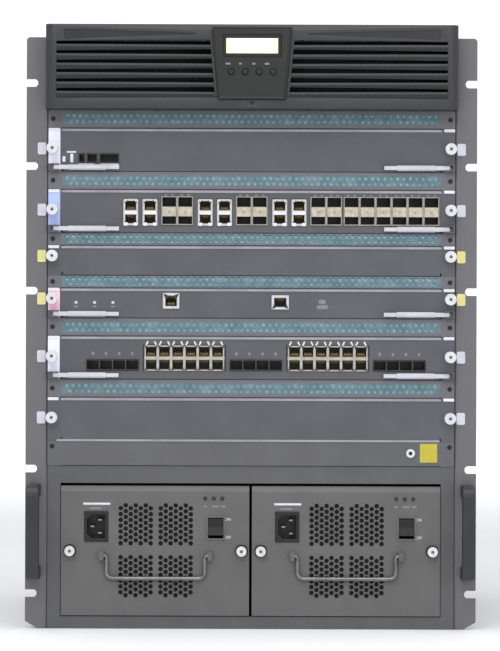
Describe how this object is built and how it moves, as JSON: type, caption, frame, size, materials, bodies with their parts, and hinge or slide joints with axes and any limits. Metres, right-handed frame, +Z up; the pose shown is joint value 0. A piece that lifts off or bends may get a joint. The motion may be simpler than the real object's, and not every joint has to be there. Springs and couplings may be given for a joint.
{
  "type": "modular chassis switch",
  "caption": "Rack-mounted modular network chassis with a stack of card slots, a fan tray behind a louvred bezel and two power supplies at the foot.",
  "frame": {"origin": "centre of the casing base's underside", "axes": "+X to the right seen from the front, +Y towards the back, +Z up"},
  "size_m": [0.4826, 0.482, 0.645],
  "materials": {
    "case_paint": "satin grey powder coat",
    "panel_paint": "satin grey paint",
    "strip_paint": "satin teal-grey paint",
    "dark_moulding": "fine moulded texture",
    "display_moulding": "smooth moulded",
    "grip_plastic": "moulded",
    "zinc": "zinc plated",
    "lever_metal": "satin",
    "circuit_board": "solder mask",
    "black_plastic": "moulded",
    "handle_steel": "plated wire",
    "screen_glass": "clear window",
    "screw_black": "blackened",
    "brass_jack": "nickel plated"
  },
  "bodies": {
    "chassis": {"chassis_body": "case_paint", "top_cover": "case_paint", "rear_panel": "case_paint", "fan_shelf": "zinc", "psu_shelf": "zinc", "psu_bay_frame": "case_paint", "backplane": "circuit_board", "rack_ear_left": "case_paint", "rack_ear_right": "case_paint", "carry_handle_left": "grip_plastic", "carry_handle_right": "grip_plastic", "guide_rack_left": "zinc", "guide_rack_right": "zinc", "vent_strip_1": "strip_paint", "vent_strip_2": "strip_paint", "vent_strip_3": "strip_paint", "vent_strip_4": "strip_paint", "vent_strip_5": "strip_paint", "vent_strip_6": "strip_paint", "service_strip": "panel_paint", "ground_jack": "brass_jack", "panel_screws": "screw_black", "blank_panel_3": "panel_paint", "blank_panel_6": "panel_paint"},
    "fan_tray": {"fan_tray": "zinc", "fan_bezel": "dark_moulding", "display_panel": "display_moulding", "display_glass": "screen_glass"},
    "fan_rotor_left": {"fan_rotor_left": "black_plastic"},
    "fan_rotor_right": {"fan_rotor_right": "black_plastic"},
    "menu_button_1": {"menu_button_1": "black_plastic"},
    "menu_button_2": {"menu_button_2": "black_plastic"},
    "menu_button_3": {"menu_button_3": "black_plastic"},
    "menu_button_4": {"menu_button_4": "black_plastic"},
    "card_1": {"card_1_faceplate": "panel_paint", "card_1_board": "circuit_board"},
    "card_1_lever_left": {"card_1_lever_left": "lever_metal"},
    "card_1_lever_right": {"card_1_lever_right": "lever_metal"},
    "card_2": {"card_2_faceplate": "panel_paint", "card_2_board": "circuit_board"},
    "card_2_lever_left": {"card_2_lever_left": "lever_metal"},
    "card_2_lever_right": {"card_2_lever_right": "lever_metal"},
    "card_4": {"card_4_faceplate": "panel_paint", "card_4_board": "circuit_board"},
    "card_4_lever_left": {"card_4_lever_left": "lever_metal"},
    "card_4_lever_right": {"card_4_lever_right": "lever_metal"},
    "card_5": {"card_5_faceplate": "panel_paint", "card_5_board": "circuit_board"},
    "card_5_lever_left": {"card_5_lever_left": "lever_metal"},
    "card_5_lever_right": {"card_5_lever_right": "lever_metal"},
    "psu_left": {"psu_left_case": "zinc", "psu_left_front": "case_paint", "psu_left_inlet": "black_plastic"},
    "psu_left_handle": {"psu_left_handle": "handle_steel"},
    "psu_left_rocker": {"psu_left_rocker": "black_plastic"},
    "psu_right": {"psu_right_case": "zinc", "psu_right_front": "case_paint", "psu_right_inlet": "black_plastic"},
    "psu_right_handle": {"psu_right_handle": "handle_steel"},
    "psu_right_rocker": {"psu_right_rocker": "black_plastic"}
  },
  "joints": [
    {"name": "fan_tray_slide", "type": "slide", "parent": "chassis", "child": "fan_tray", "axis": [0, -1, 0], "range_m": [0, 0.32]},
    {"name": "fan_rotor_left_spin", "type": "hinge", "parent": "fan_tray", "child": "fan_rotor_left", "pos_m": [-0.095, -0.11, 0.58], "axis": [0, 0, 1], "continuous": true},
    {"name": "fan_rotor_right_spin", "type": "hinge", "parent": "fan_tray", "child": "fan_rotor_right", "pos_m": [0.095, -0.11, 0.58], "axis": [0, 0, 1], "continuous": true},
    {"name": "menu_button_1_press", "type": "slide", "parent": "fan_tray", "child": "menu_button_1", "axis": [0, 1, 0], "range_m": [0, 0.001], "stiffness_N_per_m": 400},
    {"name": "menu_button_2_press", "type": "slide", "parent": "fan_tray", "child": "menu_button_2", "axis": [0, 1, 0], "range_m": [0, 0.001], "stiffness_N_per_m": 400},
    {"name": "menu_button_3_press", "type": "slide", "parent": "fan_tray", "child": "menu_button_3", "axis": [0, 1, 0], "range_m": [0, 0.001], "stiffness_N_per_m": 400},
    {"name": "menu_button_4_press", "type": "slide", "parent": "fan_tray", "child": "menu_button_4", "axis": [0, 1, 0], "range_m": [0, 0.001], "stiffness_N_per_m": 400},
    {"name": "card_1_slide", "type": "slide", "parent": "chassis", "child": "card_1", "axis": [0, -1, 0], "range_m": [0, 0.36]},
    {"name": "card_1_lever_left_swing", "type": "hinge", "parent": "card_1", "child": "card_1_lever_left", "pos_m": [-0.21, -0.2268, 0.4938], "axis": [0, 0, -1], "range_deg": [0, 65]},
    {"name": "card_1_lever_right_swing", "type": "hinge", "parent": "card_1", "child": "card_1_lever_right", "pos_m": [0.21, -0.2268, 0.4938], "axis": [0, 0, 1], "range_deg": [0, 65]},
    {"name": "card_2_slide", "type": "slide", "parent": "chassis", "child": "card_2", "axis": [0, -1, 0], "range_m": [0, 0.36]},
    {"name": "card_2_lever_left_swing", "type": "hinge", "parent": "card_2", "child": "card_2_lever_left", "pos_m": [-0.21, -0.2268, 0.4282], "axis": [0, 0, -1], "range_deg": [0, 65]},
    {"name": "card_2_lever_right_swing", "type": "hinge", "parent": "card_2", "child": "card_2_lever_right", "pos_m": [0.21, -0.2268, 0.4282], "axis": [0, 0, 1], "range_deg": [0, 65]},
    {"name": "card_4_slide", "type": "slide", "parent": "chassis", "child": "card_4", "axis": [0, -1, 0], "range_m": [0, 0.36]},
    {"name": "card_4_lever_left_swing", "type": "hinge", "parent": "card_4", "child": "card_4_lever_left", "pos_m": [-0.21, -0.2268, 0.337], "axis": [0, 0, -1], "range_deg": [0, 65]},
    {"name": "card_4_lever_right_swing", "type": "hinge", "parent": "card_4", "child": "card_4_lever_right", "pos_m": [0.21, -0.2268, 0.337], "axis": [0, 0, 1], "range_deg": [0, 65]},
    {"name": "card_5_slide", "type": "slide", "parent": "chassis", "child": "card_5", "axis": [0, -1, 0], "range_m": [0, 0.36]},
    {"name": "card_5_lever_left_swing", "type": "hinge", "parent": "card_5", "child": "card_5_lever_left", "pos_m": [-0.21, -0.2268, 0.2714], "axis": [0, 0, -1], "range_deg": [0, 65]},
    {"name": "card_5_lever_right_swing", "type": "hinge", "parent": "card_5", "child": "card_5_lever_right", "pos_m": [0.21, -0.2268, 0.2714], "axis": [0, 0, 1], "range_deg": [0, 65]},
    {"name": "psu_left_slide", "type": "slide", "parent": "chassis", "child": "psu_left", "axis": [0, -1, 0], "range_m": [0, 0.36]},
    {"name": "psu_left_handle_swing", "type": "hinge", "parent": "psu_left", "child": "psu_left_handle", "pos_m": [-0.10145, -0.22655, 0.0782], "axis": [-1, 0, 0], "range_deg": [0, 110]},
    {"name": "psu_left_rocker_tilt", "type": "hinge", "parent": "psu_left", "child": "psu_left_rocker", "pos_m": [-0.03725, -0.219, 0.1082], "axis": [1, 0, 0], "range_deg": [0, 20]},
    {"name": "psu_right_slide", "type": "slide", "parent": "chassis", "child": "psu_right", "axis": [0, -1, 0], "range_m": [0, 0.36]},
    {"name": "psu_right_handle_swing", "type": "hinge", "parent": "psu_right", "child": "psu_right_handle", "pos_m": [0.10285, -0.22655, 0.0782], "axis": [-1, 0, 0], "range_deg": [0, 110]},
    {"name": "psu_right_rocker_tilt", "type": "hinge", "parent": "psu_right", "child": "psu_right_rocker", "pos_m": [0.16705, -0.219, 0.1082], "axis": [1, 0, 0], "range_deg": [0, 20]}
  ]
}
